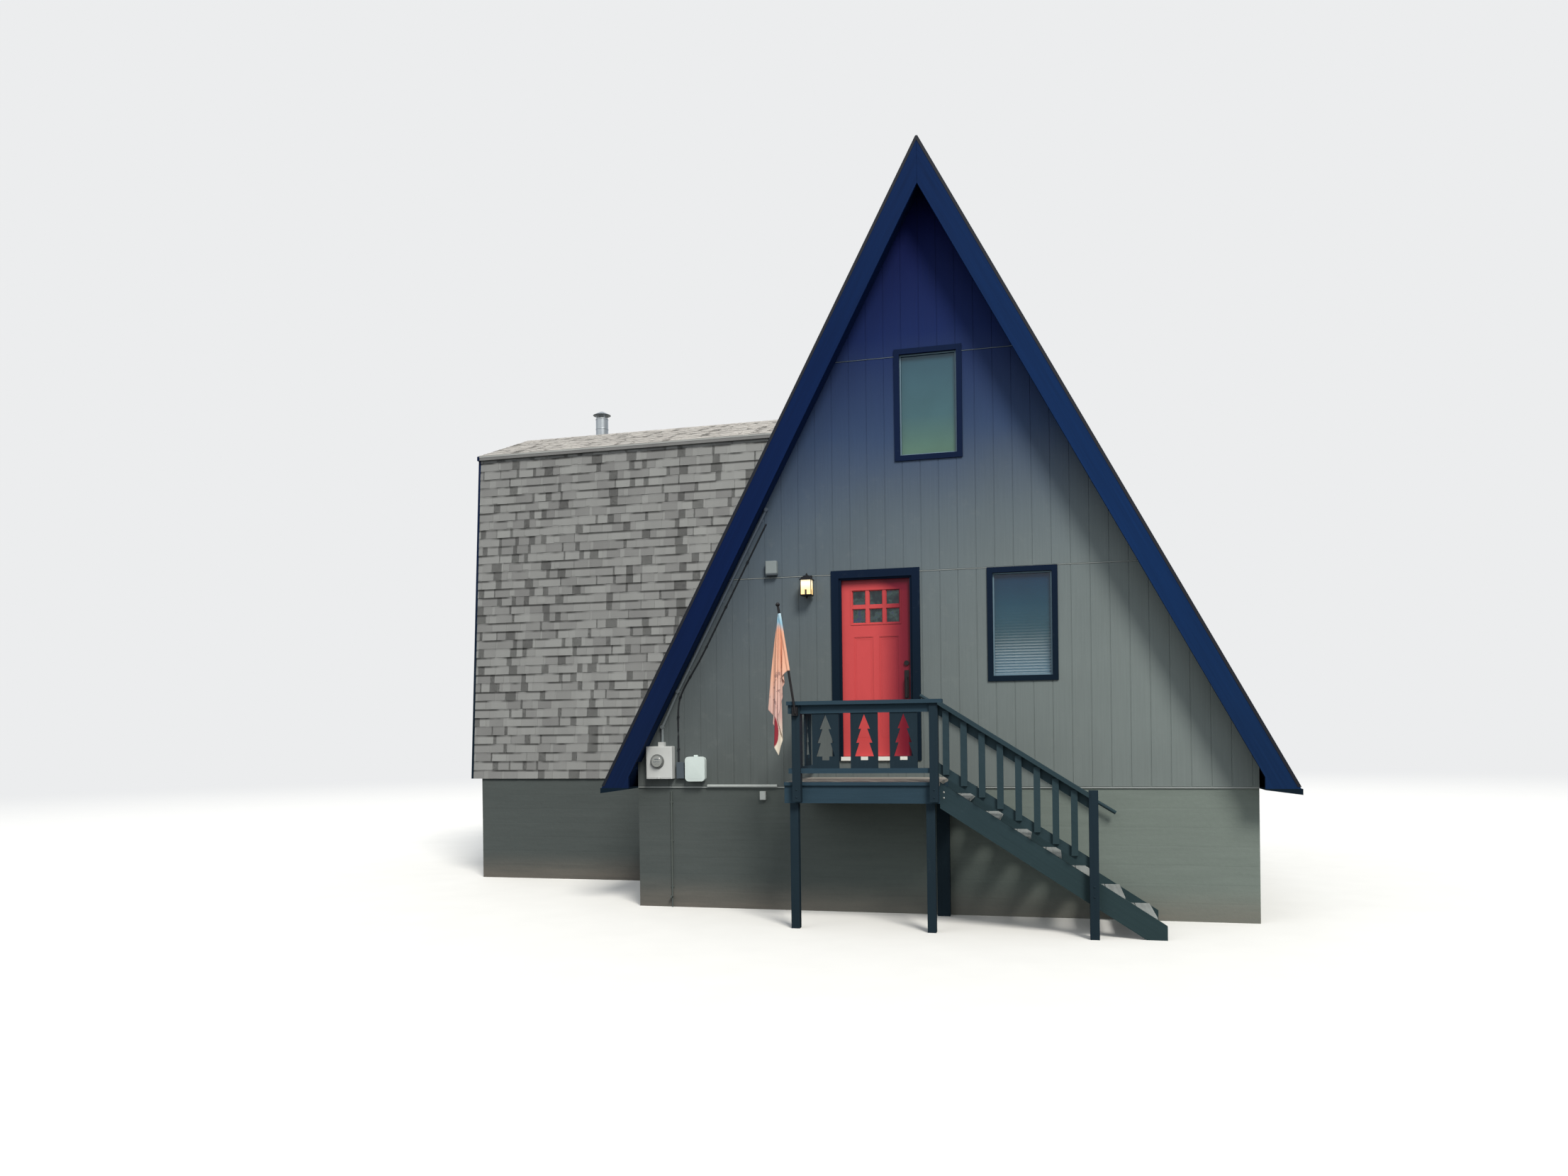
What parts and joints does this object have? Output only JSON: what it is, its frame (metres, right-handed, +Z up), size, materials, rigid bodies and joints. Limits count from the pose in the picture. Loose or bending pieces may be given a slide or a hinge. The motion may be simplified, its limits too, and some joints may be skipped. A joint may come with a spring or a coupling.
{
  "type": "a-frame cabin",
  "caption": "Steep a-frame cabin on a block foundation with a gambrel side wing, hinged front door, front porch with pine-tree cut-outs, and open steps.",
  "frame": {"origin": "foot of the front foundation wall, in the middle of its length and of its thickness", "axes": "+X to the right along the front as seen from outside, +Y back through the house, +Z up"},
  "size_m": [10.72, 9.5863, 8.6226],
  "materials": {
    "block": "painted concrete block",
    "flashing": "weathered",
    "floor_timber": "sawn",
    "siding": "painted sheets",
    "shingles": "asphalt shingles",
    "dark_trim": "painted",
    "decking": "painted, worn",
    "flue_steel": "weathered",
    "glass": "clear",
    "blind": "white",
    "threshold": "satin",
    "door_paint": "satin",
    "black_metal": "satin",
    "service_grey": "satin",
    "flag_cloth": "woven"
  },
  "bodies": {
    "house": {"foundation_front": "block", "foundation_back": "block", "foundation_sides": "block", "wing_foundation_sides": "block", "wing_foundation_end": "block", "sill_flashing": "flashing", "main_floor": "floor_timber", "loft_floor": "floor_timber", "wing_floor": "floor_timber", "wing_loft_floor": "floor_timber", "front_wall_left": "siding", "front_wall_right": "siding", "front_wall_under_door": "siding", "front_wall_gable": "siding", "back_wall_lower": "siding", "back_wall_gable": "siding", "wing_wall_lower": "siding", "wing_wall_upper": "siding", "roof_left": "shingles", "roof_right": "shingles", "ridge_cap": "shingles", "front_rake_boards": "dark_trim", "back_rake_boards": "dark_trim", "eave_boards": "dark_trim", "wing_roof_front": "shingles", "wing_roof_back": "shingles", "wing_upper_front": "shingles", "wing_upper_back": "shingles", "wing_ridge_cap": "shingles", "wing_rake_boards": "dark_trim", "flue": "flue_steel", "front_windows": "dark_trim", "rear_windows": "dark_trim", "window_glass": "glass", "window_blinds": "blind", "door_frame": "dark_trim", "door_threshold": "threshold", "door_hinges": "black_metal", "porch_posts": "dark_trim", "porch_frame": "dark_trim", "porch_deck": "decking", "porch_front_rail": "dark_trim", "porch_side_rail": "dark_trim", "rail_boards": "dark_trim", "stair_stringers": "dark_trim", "stair_treads": "decking", "stair_rail": "dark_trim", "wall_handrail": "siding", "lantern": "black_metal", "lantern_glass": "glass", "service_boxes": "service_grey", "service_pipes": "service_grey", "flag_pole": "black_metal", "flag": "flag_cloth"},
    "front_door": {"door_slab": "door_paint", "door_glass": "glass", "door_handle": "black_metal"}
  },
  "joints": [
    {"name": "front_door_hinge", "type": "hinge", "parent": "house", "child": "front_door", "pos_m": [-0.979, -0.018, 2], "axis": [0, 0, 1], "range_deg": [0, 95]}
  ]
}
